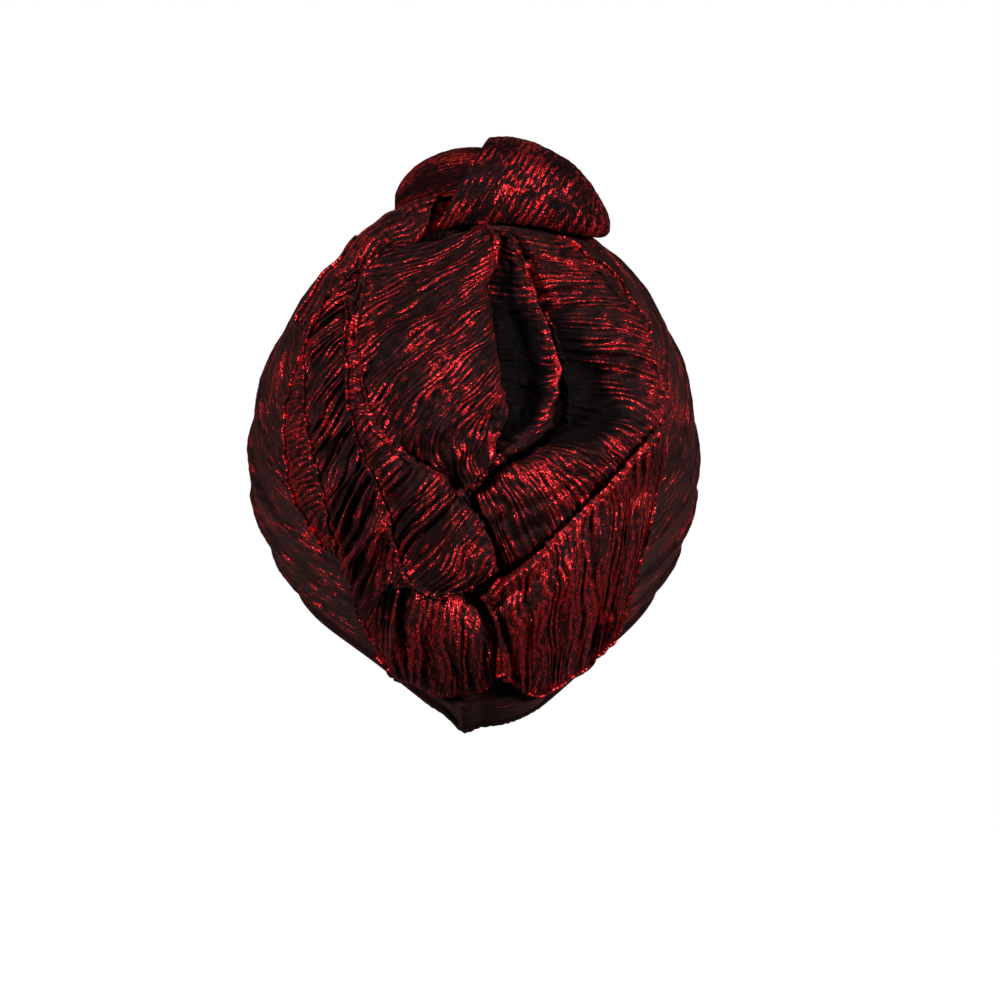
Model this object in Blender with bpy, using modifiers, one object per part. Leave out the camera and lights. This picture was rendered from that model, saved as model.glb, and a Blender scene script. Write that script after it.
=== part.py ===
"""Tied gele head tie: a hollow crown of folded cloth, a draped tail over its back, and a knot on top.

Metres, +Z up. The back of the head faces -Y and +X is the right-hand side as seen from behind.
The origin is the middle of the head hollow at the height of the head band.
"""
import math

import bmesh
import bpy
import numpy as np

# Driving sizes, in metres
CLOTH = 0.0020
GAP = 0.0005
CROWN_LEFT = 0.119
CROWN_RIGHT = 0.105
CROWN_RISE = 0.131
CROWN_DROP = 0.105
CROWN_BACK = 0.112
CROWN_FRONT = 0.112
CROWN_CENTRE_UP = 0.036
NAPE_STRETCH = 0.34
NAPE_HALF_WIDTH = 0.056
NAPE_REACH = 0.45
HEM_WIDTH = 0.009
HEM_THICK = 0.0026
HEM_STEPS = 22
# Corners of the rolled hem: shares of its width inwards and of its thickness down
HEM_SECTION = ((-0.05, 0.30), (0.25, 1.0), (0.80, 0.9), (1.0, 0.4), (0.40, 0.0))
MILLIMETRE = 0.001

# Turns of the centre line of the crown, in degrees up from straight back: where bands start and end
BANDS_START = (-61.0, 18.0)
BANDS_END = (190.5, 26.0)
LAP_ANGLE = 0.14
LAP_FADE = 0.22
BAND_ROWS = 16
BAND_COLUMNS = 20
BAND_COUNT = 4
BAND_RELIEF = 0.0015
# Side, and how far the half laps past the middle line
CROWN_HALVES = {"crown_left": (-1.0, 0.0), "crown_right": (1.0, LAP_ANGLE)}

# Height map of what is already laid on the back of the crown
MAP_HALF = 0.16
MAP_CELL = 0.0015
MAP_SPREAD_STEPS = 3
MAP_SOFT_STEPS = 2
CROWN_MAP_GRID = (160, 240)
PANEL_MAP_GRID = (200, 70)
# Least share of its depth that the crown keeps at its outline, and how softly cloth leaves what it lies on
OUTLINE_SHARE = 0.03
LAYER_SOFTNESS = 0.0004
# Places in the tables were judged from this far behind the head, so nearer cloth is drawn in by a little
VIEW_DISTANCE = 2.0

MATERIALS = {
    "lurex_crown": (0.055, 0.008, 0.010),
    "lurex_drape": (0.090, 0.006, 0.010),
    "lurex_knot": (0.075, 0.006, 0.010),
}


def clear_scene():
    for thing in list(bpy.data.objects):
        bpy.data.objects.remove(thing, do_unlink=True)


def make_collection(name):
    group = bpy.data.collections.new(name)
    bpy.context.scene.collection.children.link(group)
    return group


def cloth_material(cloth, piece):
    material = bpy.data.materials.new(cloth + " of " + piece)
    material.use_nodes = True
    shader = material.node_tree.nodes["Principled BSDF"]
    shader.inputs["Base Color"].default_value = (*MATERIALS[cloth], 1.0)
    shader.inputs["Roughness"].default_value = 0.55
    shader.inputs["Metallic"].default_value = 0.2
    return material


def smooth_step(value):
    held = np.clip(value, 0.0, 1.0)
    return held * held * (3.0 - 2.0 * held)


def quarter_round(value):
    """0 at a folded edge, 1 once the cloth has turned flat."""
    held = np.clip(value, 0.0, 1.0)
    return np.sqrt(1.0 - (1.0 - held) ** 2)


# Crown

def half_sizes(x, y, z):
    across = np.where(x < 0.0, CROWN_LEFT, CROWN_RIGHT)
    deep = np.where(y < 0.0, CROWN_BACK, CROWN_FRONT)
    high = np.where(z < 0.0, CROWN_DROP, CROWN_RISE)
    return across, deep, high


def nape_pull(x, y):
    """How much longer the crown hangs near the middle of the nape."""
    reach = np.clip(-y / CROWN_BACK / NAPE_REACH, 0.0, 1.0)
    return 1.0 + NAPE_STRETCH * np.exp(-(x / NAPE_HALF_WIDTH) ** 2) * reach


def centre_line_point(turn):
    """Depth and height of the crown's middle line, at a turn measured up from straight back."""
    y = -CROWN_BACK * np.cos(turn) if np.cos(turn) > 0.0 else -CROWN_FRONT * np.cos(turn)
    z = CROWN_RISE * np.sin(turn) if np.sin(turn) > 0.0 else CROWN_DROP * np.sin(turn)
    return np.array([y, z])


def crown_points(side, band, sweep):
    """Points of the crown: band 0 at the rim to 1 at the back, sweep 0 at the nape to pi at the front."""
    start = math.radians(BANDS_START[0] + (BANDS_START[1] - BANDS_START[0]) * band)
    end = math.radians(BANDS_END[0] + (BANDS_END[1] - BANDS_END[0]) * band)
    low = centre_line_point(start)
    far = centre_line_point(end)
    middle = 0.5 * (low + far)
    reach = 0.5 * (far - low)
    y = middle[0] - reach[0] * np.cos(sweep)
    z = middle[1] - reach[1] * np.cos(sweep)
    sign = side * np.where(np.sin(sweep) < 0.0, -1.0, 1.0)
    across, deep, high = half_sizes(sign, y, z)
    x = sign * across * np.sqrt(np.clip(1.0 - (y / deep) ** 2 - (z / high) ** 2, 0.0, 1.0))
    normal = np.stack([x / across ** 2, y / deep ** 2, z / high ** 2], axis=-1)
    normal /= np.linalg.norm(normal, axis=-1, keepdims=True)
    z = np.where(z < 0.0, z * nape_pull(x, y), z)
    return np.stack([x, y, z], axis=-1), normal


def crown_grid(side, rows, columns, lap):
    """Grid of the outer face of one crown half; the lapping half stands clear of the other at both ends."""
    grid = []
    lifts = []
    for row in range(rows + 1):
        band = row / rows
        sweep = np.linspace(-lap, math.pi + lap, columns + 1)
        points, normal = crown_points(side, band, sweep)
        lift = BAND_RELIEF * math.cos(2.0 * math.pi * BAND_COUNT * band) * np.sin(np.clip(sweep, 0, math.pi))
        if lap > 0.0:
            near_end = np.minimum(sweep, math.pi - sweep)
            lift = lift + (CLOTH + 2.0 * GAP) * (1.0 - smooth_step((near_end - LAP_FADE) / LAP_FADE))
        grid.append(points + normal * lift[:, None])
        lifts.append(lift)
    return np.array(grid), np.array(lifts)


def back_of_crown(x, z):
    """Point and outward direction on the back of the crown behind a place in the rear view."""
    pull = 1.0 + NAPE_STRETCH * np.exp(-(x / NAPE_HALF_WIDTH) ** 2)
    flat_z = np.where(z < 0.0, z / pull, z)
    across, deep, high = half_sizes(x, np.full_like(x, -1.0), flat_z)
    out = (x / across) ** 2 + (flat_z / high) ** 2
    y = -CROWN_BACK * np.sqrt(np.clip(1.0 - out, OUTLINE_SHARE, 1.0))
    normal = np.stack([x / across ** 2, y / deep ** 2, flat_z / high ** 2], axis=-1)
    normal /= np.linalg.norm(normal, axis=-1, keepdims=True)
    return np.stack([x, y, z], axis=-1), normal


# Height map of the layers on the back

def empty_map():
    cells = int(2 * MAP_HALF / MAP_CELL) + 1
    return np.zeros((cells, cells))


def map_place(x, z):
    return (x + MAP_HALF) / MAP_CELL, (z + MAP_HALF) / MAP_CELL


def record_layer(heights, x, z, lift):
    column, row = map_place(x, z)
    column = np.clip(np.rint(column).astype(int), 0, heights.shape[0] - 1)
    row = np.clip(np.rint(row).astype(int), 0, heights.shape[1] - 1)
    np.maximum.at(heights, (column.ravel(), row.ravel()), lift.ravel())


def spread_map(heights, wide, soft):
    """Widest value nearby, then softened, so that the next layer climbs before it meets an edge."""
    high = heights.copy()
    for _ in range(wide):
        padded = np.pad(high, 1, mode="edge")
        for shift_x in range(3):
            for shift_z in range(3):
                high = np.maximum(high, padded[shift_x:shift_x + high.shape[0], shift_z:shift_z + high.shape[1]])
    for _ in range(soft):
        padded = np.pad(high, 1, mode="edge")
        total = np.zeros_like(high)
        for shift_x in range(3):
            for shift_z in range(3):
                total += padded[shift_x:shift_x + high.shape[0], shift_z:shift_z + high.shape[1]]
        high = total / 9.0
    return high


def read_map(heights, x, z):
    column, row = map_place(x, z)
    column = np.clip(column, 0, heights.shape[0] - 1.001)
    row = np.clip(row, 0, heights.shape[1] - 1.001)
    left, low = column.astype(int), row.astype(int)
    side, up = column - left, row - low
    return (heights[left, low] * (1 - side) * (1 - up) + heights[left + 1, low] * side * (1 - up)
            + heights[left, low + 1] * (1 - side) * up + heights[left + 1, low + 1] * side * up)


# Draped panels: one row of a table for each rib across the panel.
# Columns: across and up of the first edge, the middle and the second edge, in shares of the crown's half
# widths and rise, then how far the first edge, the middle and the second edge stand off the crown, in mm.

PLEAT_LEFT_OUTER = (
    (-0.60, 0.69, -0.58, 0.68, -0.56, 0.67, 4, 6, 5),
    (-0.70, 0.58, -0.67, 0.56, -0.63, 0.55, 4, 8, 7),
    (-0.76, 0.45, -0.74, 0.44, -0.69, 0.42, 4, 8, 7),
    (-0.83, 0.28, -0.78, 0.27, -0.71, 0.26, 4, 9, 7),
    (-0.85, 0.15, -0.79, 0.15, -0.71, 0.13, 4, 9, 7),
    (-0.84, 0.02, -0.78, 0.01, -0.68, 0.00, 4, 9, 7),
    (-0.82, -0.10, -0.75, -0.11, -0.66, -0.13, 4, 8, 7),
    (-0.76, -0.22, -0.70, -0.22, -0.62, -0.23, 4, 7, 6),
    (-0.70, -0.31, -0.66, -0.31, -0.61, -0.31, 4, 6, 6),
)
PLEAT_LEFT_INNER = (
    (-0.51, 0.74, -0.485, 0.735, -0.46, 0.73, 6, 8, 7),
    (-0.64, 0.65, -0.58, 0.67, -0.50, 0.68, 9, 11, 9),
    (-0.71, 0.55, -0.63, 0.58, -0.52, 0.61, 11, 12, 11),
    (-0.76, 0.44, -0.66, 0.48, -0.53, 0.53, 12, 12, 12),
    (-0.77, 0.32, -0.65, 0.39, -0.53, 0.46, 12, 12, 12),
    (-0.76, 0.19, -0.63, 0.28, -0.51, 0.36, 12, 12, 12),
    (-0.74, 0.06, -0.60, 0.15, -0.48, 0.24, 12, 12, 12),
    (-0.70, -0.08, -0.56, 0.02, -0.43, 0.11, 12, 12, 12),
    (-0.66, -0.24, -0.51, -0.13, -0.37, -0.01, 11, 12, 12),
    (-0.61, -0.39, -0.45, -0.27, -0.31, -0.15, 9, 12, 11),
    (-0.56, -0.53, -0.39, -0.41, -0.26, -0.31, 7, 11, 9),
    (-0.50, -0.65, -0.35, -0.54, -0.22, -0.44, 6, 10, 7),
    (-0.41, -0.77, -0.29, -0.65, -0.17, -0.54, 5, 8, 6),
)
SWAG_RIGHT_UPPER = (
    (0.06, 0.88, 0.21, 0.86, 0.34, 0.85, 8, 14, 4),
    (0.12, 0.81, 0.31, 0.79, 0.49, 0.79, 8, 15, 4),
    (0.18, 0.71, 0.44, 0.72, 0.62, 0.69, 7, 16, 4),
    (0.23, 0.61, 0.55, 0.62, 0.71, 0.59, 6, 18, 4),
    (0.28, 0.52, 0.65, 0.51, 0.78, 0.47, 5, 20, 4),
    (0.32, 0.42, 0.71, 0.39, 0.82, 0.33, 4, 22, 4),
    (0.35, 0.31, 0.74, 0.27, 0.84, 0.17, 4, 24, 5),
    (0.37, 0.21, 0.71, 0.16, 0.82, 0.01, 4, 26, 9),
    (0.34, 0.13, 0.61, 0.07, 0.75, -0.05, 6, 26, 10),
    (0.29, 0.08, 0.49, 0.03, 0.63, -0.11, 9, 26, 11),
    (0.21, 0.04, 0.35, -0.02, 0.51, -0.19, 11, 25, 12),
    (0.14, 0.01, 0.23, -0.06, 0.39, -0.28, 12, 24, 13),
    (0.06, -0.03, 0.11, -0.10, 0.28, -0.35, 12, 22, 12),
    (0.00, -0.08, 0.02, -0.15, 0.17, -0.40, 11, 19, 11),
    (-0.04, -0.13, -0.03, -0.18, 0.09, -0.41, 10, 16, 10),
)
COWL_FOLD = (
    (0.00, 0.89, 0.04, 0.89, 0.09, 0.87, 13, 14, 14),
    (0.00, 0.80, 0.08, 0.79, 0.16, 0.78, 10, 12, 15),
    (-0.01, 0.69, 0.11, 0.68, 0.22, 0.67, 7, 9, 16),
    (-0.01, 0.57, 0.14, 0.56, 0.27, 0.56, 5, 6, 18),
    (0.00, 0.46, 0.17, 0.45, 0.32, 0.46, 4, 4, 18),
    (0.01, 0.34, 0.18, 0.34, 0.35, 0.34, 4, 3, 18),
    (0.03, 0.25, 0.18, 0.24, 0.33, 0.25, 4, 4, 18),
    (0.01, 0.16, 0.14, 0.15, 0.27, 0.16, 5, 8, 16),
    (-0.03, 0.10, 0.08, 0.10, 0.18, 0.08, 8, 11, 14),
    (-0.07, 0.06, 0.01, 0.05, 0.09, 0.03, 9, 12, 12),
    (-0.09, 0.01, -0.05, -0.01, 0.00, -0.03, 10, 11, 12),
)
COWL_LOBE = (
    (-0.39, 0.82, -0.20, 0.84, -0.01, 0.90, 13, 17, 17),
    (-0.50, 0.76, -0.22, 0.77, 0.05, 0.85, 13, 19, 19),
    (-0.52, 0.68, -0.24, 0.70, 0.05, 0.77, 13, 21, 19),
    (-0.54, 0.56, -0.26, 0.61, 0.00, 0.67, 12, 22, 20),
    (-0.55, 0.44, -0.26, 0.51, 0.02, 0.56, 12, 23, 21),
    (-0.53, 0.32, -0.24, 0.39, 0.04, 0.45, 12, 24, 22),
    (-0.50, 0.20, -0.21, 0.28, 0.06, 0.35, 11, 24, 23),
    (-0.44, 0.10, -0.17, 0.19, 0.08, 0.27, 10, 22, 23),
    (-0.35, 0.02, -0.13, 0.10, 0.10, 0.21, 9, 19, 21),
    (-0.24, -0.03, -0.11, 0.04, 0.07, 0.13, 9, 15, 18),
    (-0.15, -0.08, -0.07, -0.03, 0.02, 0.05, 9, 13, 16),
    (-0.09, -0.13, -0.05, -0.09, -0.01, -0.04, 9, 12, 13),
)
SWAG_LEFT_LOWER = (
    (-0.42, -0.47, -0.46, -0.61, -0.45, -0.74, 9, 11, 7),
    (-0.38, -0.46, -0.40, -0.67, -0.38, -0.80, 12, 16, 9),
    (-0.29, -0.46, -0.32, -0.69, -0.30, -0.85, 13, 18, 9),
    (-0.20, -0.47, -0.22, -0.70, -0.20, -0.89, 15, 19, 9),
    (-0.12, -0.50, -0.12, -0.72, -0.11, -0.88, 16, 20, 9),
    (-0.03, -0.56, -0.04, -0.73, -0.03, -0.86, 16, 19, 10),
    (0.03, -0.63, 0.02, -0.75, 0.03, -0.82, 13, 15, 10),
    (0.08, -0.71, 0.08, -0.75, 0.07, -0.79, 10, 12, 10),
)
SWAG_LEFT_UPPER = (
    (-0.57, 0.70, -0.555, 0.70, -0.54, 0.70, 12, 14, 14),
    (-0.59, 0.61, -0.565, 0.62, -0.535, 0.63, 15, 18, 18),
    (-0.61, 0.50, -0.58, 0.51, -0.55, 0.52, 15, 18, 18),
    (-0.61, 0.36, -0.58, 0.37, -0.54, 0.38, 15, 18, 18),
    (-0.59, 0.23, -0.56, 0.24, -0.51, 0.24, 15, 18, 18),
    (-0.55, 0.09, -0.51, 0.11, -0.45, 0.13, 15, 19, 18),
    (-0.48, -0.06, -0.41, -0.02, -0.34, 0.03, 15, 20, 18),
    (-0.42, -0.19, -0.32, -0.11, -0.21, -0.03, 11, 21, 19),
    (-0.39, -0.32, -0.24, -0.22, -0.11, -0.12, 11, 23, 20),
    (-0.34, -0.44, -0.18, -0.33, -0.03, -0.22, 12, 25, 21),
    (-0.24, -0.51, -0.10, -0.41, 0.02, -0.31, 18, 26, 21),
    (-0.11, -0.49, -0.03, -0.43, 0.05, -0.36, 18, 24, 20),
    (-0.01, -0.45, 0.02, -0.42, 0.045, -0.40, 18, 20, 18),
)
SWAG_RIGHT_LOWER = (
    (0.84, 0.15, 0.80, -0.13, 0.64, -0.58, 4, 5, 2),
    (0.76, 0.10, 0.74, -0.21, 0.60, -0.65, 11, 10, 3),
    (0.66, -0.01, 0.64, -0.31, 0.54, -0.71, 15, 14, 3),
    (0.55, -0.11, 0.54, -0.39, 0.47, -0.77, 17, 16, 4),
    (0.44, -0.19, 0.44, -0.46, 0.39, -0.81, 18, 18, 4),
    (0.34, -0.28, 0.34, -0.52, 0.30, -0.86, 19, 20, 5),
    (0.23, -0.35, 0.25, -0.58, 0.23, -0.89, 20, 21, 8),
    (0.12, -0.41, 0.16, -0.61, 0.16, -0.88, 20, 21, 9),
    (0.04, -0.46, 0.10, -0.63, 0.12, -0.85, 19, 20, 11),
    (-0.02, -0.51, 0.05, -0.64, 0.06, -0.80, 17, 17, 12),
)
STRAND_LEFT = (
    (-0.79, 0.56, -0.77, 0.53, -0.74, 0.49, 1, 5, 3),
    (-0.70, 0.69, -0.67, 0.66, -0.63, 0.62, 2, 8, 3),
    (-0.60, 0.81, -0.57, 0.78, -0.53, 0.73, 3, 10, 3),
    (-0.50, 0.91, -0.46, 0.86, -0.41, 0.79, 6, 12, 4),
    (-0.39, 0.98, -0.36, 0.91, -0.33, 0.81, 9, 13, 5),
    (-0.30, 1.00, -0.29, 0.94, -0.29, 0.82, 12, 13, 6),
    (-0.20, 1.02, -0.225, 0.95, -0.265, 0.85, 13, 13, 7),
)

# Columns: table, rows and columns of faces, gathers along, their relief in mm, how far the first edge, the
# second edge, the start and the end turn down in mm, and the material
PANELS = {
    "strand_left": (STRAND_LEFT, 12, 6, 0, 0.0, 3, 3, 0, 0, "lurex_crown"),
    "pleat_left_outer": (PLEAT_LEFT_OUTER, 16, 6, 0, 0.0, 3, 2, 2, 2, "lurex_drape"),
    "pleat_left_inner": (PLEAT_LEFT_INNER, 32, 6, 8, 2.0, 4, 2, 3, 2, "lurex_drape"),
    "swag_right_upper": (SWAG_RIGHT_UPPER, 26, 8, 6, 1.1, 1, 2, 4, 5, "lurex_drape"),
    "cowl_fold": (COWL_FOLD, 20, 7, 0, 0.0, 1, 3, 3, 1, "lurex_drape"),
    "cowl_lobe": (COWL_LOBE, 24, 8, 6, 1.0, 3, 6, 5, 1, "lurex_drape"),
    "swag_left_lower": (SWAG_LEFT_LOWER, 24, 7, 6, 1.3, 5, 3, 4, 6, "lurex_drape"),
    "swag_left_upper": (SWAG_LEFT_UPPER, 26, 7, 5, 0.7, 5, 5, 3, 7, "lurex_drape"),
    "swag_right_lower": (SWAG_RIGHT_LOWER, 24, 8, 6, 1.4, 7, 2, 3, 3, "lurex_drape"),
}
# Dents of a panel: place along and across it, reach along and across, in shares, and depth in mm
DENTS = {
    "swag_right_upper": ((0.46, 0.18, 0.16, 0.17, 10.0),),
    "cowl_lobe": ((0.22, 0.32, 0.20, 0.18, 5.0), (0.66, 0.62, 0.10, 0.16, 3.0)),
    "swag_left_upper": ((0.74, 0.42, 0.08, 0.30, 3.0),),
    "swag_right_lower": ((0.30, 0.55, 0.07, 0.45, 2.5), (0.66, 0.60, 0.06, 0.45, 2.5)),
}
TURN_WIDTH = 0.0055
TURN_SHARES = (0.10, 0.50)


def row_values(table, along):
    """Smooth values of every column of a table at shares along it."""
    rows = np.array(table, float)
    place = np.clip(along, 0.0, 1.0) * (len(rows) - 1)
    index = np.minimum(place.astype(int), len(rows) - 2)
    part = (place - index)[:, None]
    before = rows[np.maximum(index - 1, 0)]
    first = rows[index]
    second = rows[index + 1]
    after = rows[np.minimum(index + 2, len(rows) - 1)]
    return 0.5 * (2.0 * first + (second - before) * part
                  + (2.0 * before - 5.0 * first + 4.0 * second - after) * part ** 2
                  + (3.0 * first - before - 3.0 * second + after) * part ** 3)


def panel_points(panel, dents, heights, rows, columns):
    """Outer face of a panel, laid on what is already on the map; also its place in the rear view and its lift."""
    table, _, _, gathers, relief, turn_first, turn_second, turn_start, turn_end, _ = panel
    along = np.linspace(0.0, 1.0, rows + 1)
    across = 0.5 - 0.5 * np.cos(np.linspace(0.0, math.pi, columns + 1))
    values = row_values(table, along)
    first = 2.0 * (across - 0.5) * (across - 1.0)
    middle = 4.0 * across * (1.0 - across)
    second = 2.0 * across * (across - 0.5)

    def blend(column_first, column_middle, column_second):
        return (values[:, column_first, None] * first + values[:, column_middle, None] * middle
                + values[:, column_second, None] * second)

    share_x = blend(0, 2, 4)
    share_z = blend(1, 3, 5)
    lift = blend(6, 7, 8)
    x = share_x * np.where(share_x < 0.0, CROWN_LEFT, CROWN_RIGHT)
    z = share_z * CROWN_RISE
    width = np.hypot(x[:, -1] - x[:, 0], z[:, -1] - z[:, 0])[:, None]
    turn_across = np.clip(TURN_WIDTH / width, *TURN_SHARES)
    middle_column = columns // 2
    length = np.hypot(np.diff(x[:, middle_column]), np.diff(z[:, middle_column])).sum()
    turn_along = TURN_WIDTH / length
    lift -= turn_first * (1.0 - quarter_round(across / turn_across))
    lift -= turn_second * (1.0 - quarter_round((1.0 - across) / turn_across))
    lift -= turn_start * (1.0 - quarter_round(along / turn_along))[:, None]
    lift -= turn_end * (1.0 - quarter_round((1.0 - along) / turn_along))[:, None]
    wave = np.cos(2.0 * math.pi * gathers * along)[:, None] * np.sin(math.pi * across) ** 0.5
    lift += relief * wave * (1.0 if gathers else 0.0)
    for dent_along, dent_across, reach_along, reach_across, depth in dents:
        away = ((along[:, None] - dent_along) / reach_along) ** 2 + ((across - dent_across) / reach_across) ** 2
        lift -= depth * np.exp(-away)
    own = lift * MILLIMETRE
    base, normal = back_of_crown(x, z)
    nearer = 1.0 + (base[..., 1] + normal[..., 1] * own) / VIEW_DISTANCE
    x, z = x * nearer, z * nearer
    below = read_map(heights, x, z) + CLOTH + GAP
    height = 0.5 * (own + below + np.sqrt((own - below) ** 2 + LAYER_SOFTNESS ** 2))
    place_x, place_z = x.copy(), z.copy()
    for _ in range(4):
        base, normal = back_of_crown(place_x, place_z)
        place_x = x - normal[..., 0] * height
        place_z = z - normal[..., 2] * height
    base, normal = back_of_crown(place_x, place_z)
    return base + normal * height[..., None], x, z, height


# Knot: closed loops from left to right.
# Columns: middle across, middle up, half height, half depth, middle depth, lean, hang, clearance. The first
# five are shares of the crown's rise. The lean is how far a loop's top stands to the right, as a share of its
# height, the hang is how much longer its lower half is, and the clearance is how many cloths lie under it.

KNOT_BAND = (
    (-0.10, 1.03, 0.200, 0.315, -0.20, 0.54, 1.5, 1.0),
    (0.00, 1.04, 0.190, 0.320, -0.20, 0.54, 1.5, 1.7),
    (0.12, 1.02, 0.175, 0.305, -0.20, 0.52, 1.5, 1.7),
    (0.24, 0.985, 0.152, 0.275, -0.20, 0.46, 1.5, 1.7),
    (0.34, 0.945, 0.120, 0.225, -0.20, 0.35, 1.4, 1.7),
    (0.41, 0.915, 0.080, 0.150, -0.20, 0.20, 1.2, 1.7),
    (0.440, 0.900, 0.050, 0.095, -0.20, 0.10, 1.0, 1.7),
)
KNOT_ROLL = (
    (-0.355, 0.985, 0.045, 0.070, 0.02, 0.0, 1.0, 0.9),
    (-0.33, 1.000, 0.080, 0.110, 0.01, 0.0, 1.0, 1.2),
    (-0.27, 1.030, 0.110, 0.150, -0.02, 0.0, 1.0, 2.2),
    (-0.18, 1.060, 0.120, 0.175, -0.09, 0.0, 1.0, 2.8),
    (-0.09, 1.080, 0.115, 0.180, -0.14, 0.0, 1.0, 2.8),
    (0.01, 1.085, 0.105, 0.170, -0.16, 0.0, 1.0, 2.8),
    (0.08, 1.065, 0.090, 0.140, -0.17, 0.0, 1.0, 2.8),
)
FLOOR_SOFTNESS = 0.004


def loop_points(table, rows, columns):
    """Loops of a knot piece, resting on the crown where they would sink into it."""
    values = row_values(table, np.linspace(0.0, 1.0, rows + 1))
    across, up, half_height, half_depth, depth = (values[:, :5, None] * CROWN_RISE).transpose(1, 0, 2)
    lean, hang, cloths = values[:, 5:, None].transpose(1, 0, 2)
    turn = np.linspace(0.0, 2.0 * math.pi, columns, endpoint=False)
    rise = np.sin(turn) * half_height
    rise = np.where(rise < 0.0, rise * hang, rise)
    x = across + lean * rise
    y = depth - half_depth * np.cos(turn)
    z = up + rise
    wide, deep, high = half_sizes(x, y, np.ones_like(x))
    top = high * np.sqrt(np.clip(1.0 - (x / wide) ** 2 - (y / deep) ** 2, 0.0, 1.0))
    floor = top + cloths * (CLOTH + GAP)
    z = 0.5 * (z + floor + np.sqrt((z - floor) ** 2 + FLOOR_SOFTNESS ** 2))
    return np.stack([x, y, z], axis=-1)


# Meshes

def lift_to_frame(points):
    return points + np.array([0.0, 0.0, CROWN_CENTRE_UP])


def grid_object(name, points, material_name, group, closed_across=False):
    """A cloth shell from a grid of points on its outer face; Solidify gives it the cloth's thickness."""
    mesh = bpy.data.meshes.new(name)
    cloth = bmesh.new()
    placed = lift_to_frame(points)
    rows, columns = placed.shape[:2]
    corners = [[cloth.verts.new(placed[row, column]) for column in range(columns)] for row in range(rows)]
    last = columns if closed_across else columns - 1
    for row in range(rows - 1):
        for column in range(last):
            beside = (column + 1) % columns
            cloth.faces.new((corners[row][column], corners[row][beside],
                             corners[row + 1][beside], corners[row + 1][column]))
    cloth.normal_update()
    middle = placed.reshape(-1, 3).mean(axis=0) if closed_across else np.array([0.0, 0.0, CROWN_CENTRE_UP])
    outward = sum(face.normal.dot(face.calc_center_median() - type(face.normal)(middle)) * face.calc_area()
                  for face in cloth.faces)
    if outward < 0.0:
        bmesh.ops.reverse_faces(cloth, faces=cloth.faces)
    cloth.to_mesh(mesh)
    cloth.free()
    piece = bpy.data.objects.new(name, mesh)
    group.objects.link(piece)
    mesh.materials.append(cloth_material(material_name, name))
    shell = piece.modifiers.new("cloth thickness", "SOLIDIFY")
    shell.thickness = CLOTH
    shell.offset = -1.0
    shell.use_even_offset = False
    return piece


def build_crown(group):
    for name, (side, lap) in CROWN_HALVES.items():
        points, _ = crown_grid(side, BAND_ROWS, BAND_COLUMNS, lap)
        grid_object(name, points, "lurex_crown", group)


def build_hem(group):
    """Rolled hem round the rim: a flat closed band just under the crown's edge."""
    sweep = np.linspace(0.0, math.pi, HEM_STEPS + 1)
    right, _ = crown_points(1.0, 0.0, sweep)
    left, _ = crown_points(-1.0, 0.0, sweep)
    rim = np.concatenate([right, left[-2:0:-1]])
    inward = -rim * np.array([1.0, 1.0, 0.0])
    inward /= np.linalg.norm(inward, axis=1, keepdims=True)
    down = np.array([0.0, 0.0, -1.0])
    clear = CLOTH * 0.5 + GAP
    loops = []
    for share_in, share_down in HEM_SECTION:
        loops.append(rim + inward * (share_in * HEM_WIDTH) + down * (clear + share_down * HEM_THICK))
    mesh = bpy.data.meshes.new("hem_band")
    cloth = bmesh.new()
    placed = lift_to_frame(np.array(loops))
    corners = [[cloth.verts.new(point) for point in loop] for loop in placed]
    for ring in range(len(HEM_SECTION)):
        for step in range(len(rim)):
            beside, over = (step + 1) % len(rim), (ring + 1) % len(HEM_SECTION)
            cloth.faces.new((corners[ring][step], corners[ring][beside],
                             corners[over][beside], corners[over][step]))
    bmesh.ops.recalc_face_normals(cloth, faces=cloth.faces)
    cloth.to_mesh(mesh)
    cloth.free()
    piece = bpy.data.objects.new("hem_band", mesh)
    group.objects.link(piece)
    mesh.materials.append(cloth_material("lurex_crown", "hem_band"))


def build_drape(group):
    """Panels laid one after another, each on what is already there."""
    heights = empty_map()
    for side, lap in CROWN_HALVES.values():
        points, lifts = crown_grid(side, *CROWN_MAP_GRID, lap)
        back = points[..., 1] < 0.0
        record_layer(heights, points[..., 0][back], points[..., 2][back], lifts[back])
    for name, panel in PANELS.items():
        laid = spread_map(heights, MAP_SPREAD_STEPS, MAP_SOFT_STEPS)
        dents = DENTS.get(name, ())
        points, *_ = panel_points(panel, dents, laid, panel[1], panel[2])
        grid_object(name, points, panel[9], group)
        _, x, z, lift = panel_points(panel, dents, laid, *PANEL_MAP_GRID)
        record_layer(heights, x, z, lift)


def build_knot(group):
    grid_object("knot_roll", loop_points(KNOT_ROLL, 9, 16), "lurex_knot", group, closed_across=True)
    grid_object("knot_band", loop_points(KNOT_BAND, 11, 20), "lurex_knot", group, closed_across=True)


clear_scene()
head_tie = make_collection("tied gele head tie")
build_crown(head_tie)
build_hem(head_tie)
build_drape(head_tie)
build_knot(head_tie)
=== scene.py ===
"""Tied gele head tie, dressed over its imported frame: ribbed metallic knit laid in folds over a hollow crown.

Metres, +Z up. The back of the head faces -Y and +X is the right-hand side as seen from behind. Each piece repeats
the shape of the frame's piece that it stands for, finer, and adds the ribs, gathers and crinkles of the knit.
"""
import math

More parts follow.
